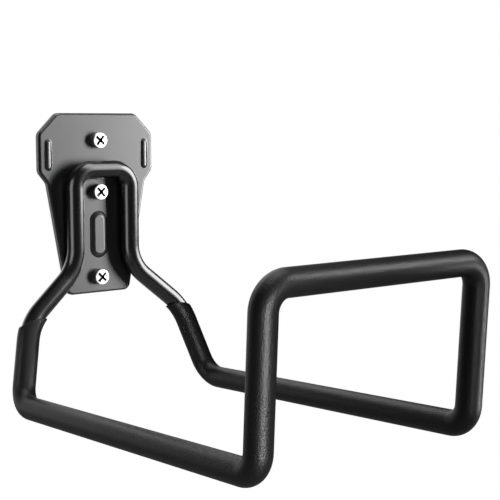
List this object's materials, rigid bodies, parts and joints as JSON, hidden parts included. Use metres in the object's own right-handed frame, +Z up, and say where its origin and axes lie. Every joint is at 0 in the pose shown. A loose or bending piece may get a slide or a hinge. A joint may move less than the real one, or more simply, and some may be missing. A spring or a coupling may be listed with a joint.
{
  "type": "hose hanger",
  "caption": "Wall-mounted hose hanger: a pressed back plate with screws, and a round bar bent into forward arms and an upturned front loop, with a soft sleeve over the loop.",
  "frame": {"origin": "on the upper screw's axis, in the wall plane that the plate's rim rests on", "axes": "+Z up; +Y into the wall along the screws, so the arms reach out along -Y; +X to the right for someone who faces the wall"},
  "size_m": [0.1584, 0.315, 0.1899],
  "materials": {
    "black_paint": "smooth glossy black powder coat on steel",
    "soft_sleeve": "matte black soft sleeve with a fine grain",
    "bright_zinc": "bright zinc plated"
  },
  "bodies": {
    "root": {"wall_plate": "black_paint", "bent_bar": "black_paint", "grip_sleeve": "soft_sleeve", "plate_screws": "bright_zinc"}
  },
  "joints": []
}
